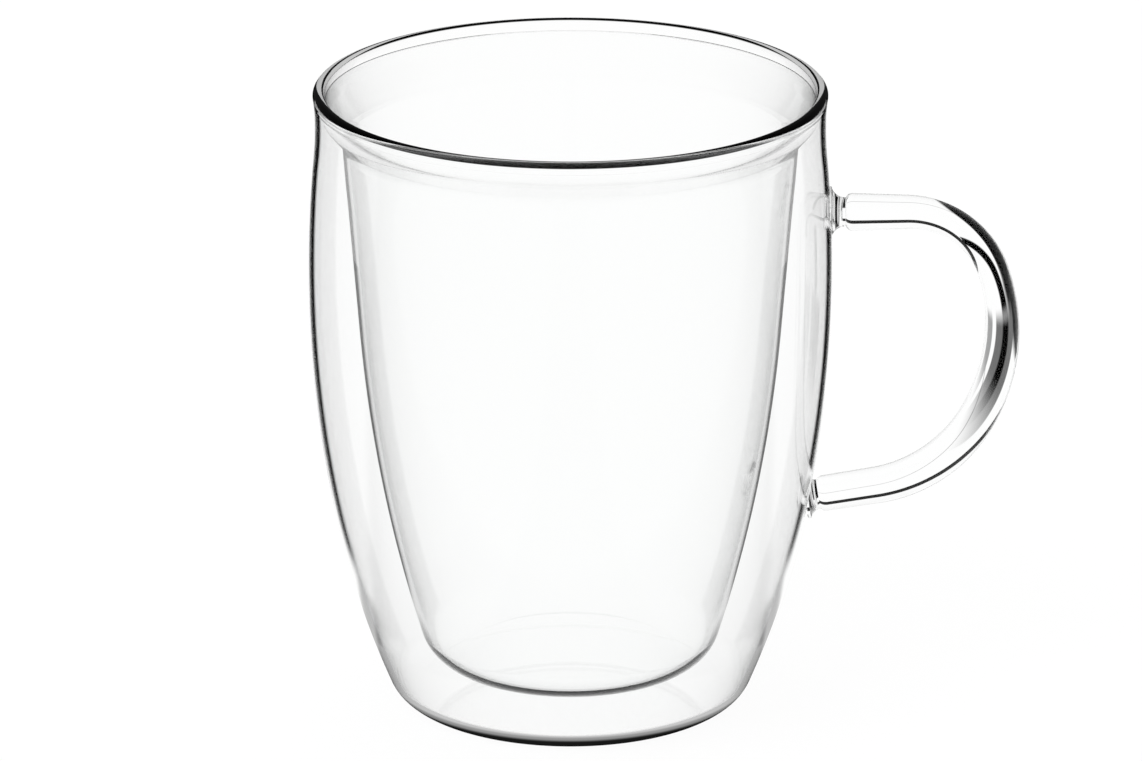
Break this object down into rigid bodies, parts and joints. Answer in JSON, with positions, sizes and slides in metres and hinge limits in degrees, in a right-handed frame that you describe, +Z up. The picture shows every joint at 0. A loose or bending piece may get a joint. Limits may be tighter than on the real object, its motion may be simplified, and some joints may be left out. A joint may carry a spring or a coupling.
{
  "type": "double walled glass mug",
  "caption": "Free-standing glass mug with an inner bowl fused to an outer shell at the lip and a solid glass rod handle on one side",
  "frame": {"origin": "centre of the base's underside, on the axis of the cup", "axes": "+Z up along the cup's axis, +X towards the handle, +Y to the left of the handle seen from above with the handle pointing away"},
  "size_m": [0.1226, 0.0902, 0.11],
  "materials": {
    "bowl_glass": "clear borosilicate, fire polished",
    "shell_glass": "clear borosilicate, fire polished",
    "lip_glass": "clear borosilicate, melted round",
    "rod_glass": "clear borosilicate, drawn rod",
    "weld_glass": "clear borosilicate, flame worked"
  },
  "bodies": {
    "root": {"inner_bowl": "bowl_glass", "outer_shell": "shell_glass", "fused_lip": "lip_glass", "handle_rod": "rod_glass", "upper_weld": "weld_glass", "lower_weld": "weld_glass"}
  },
  "joints": []
}
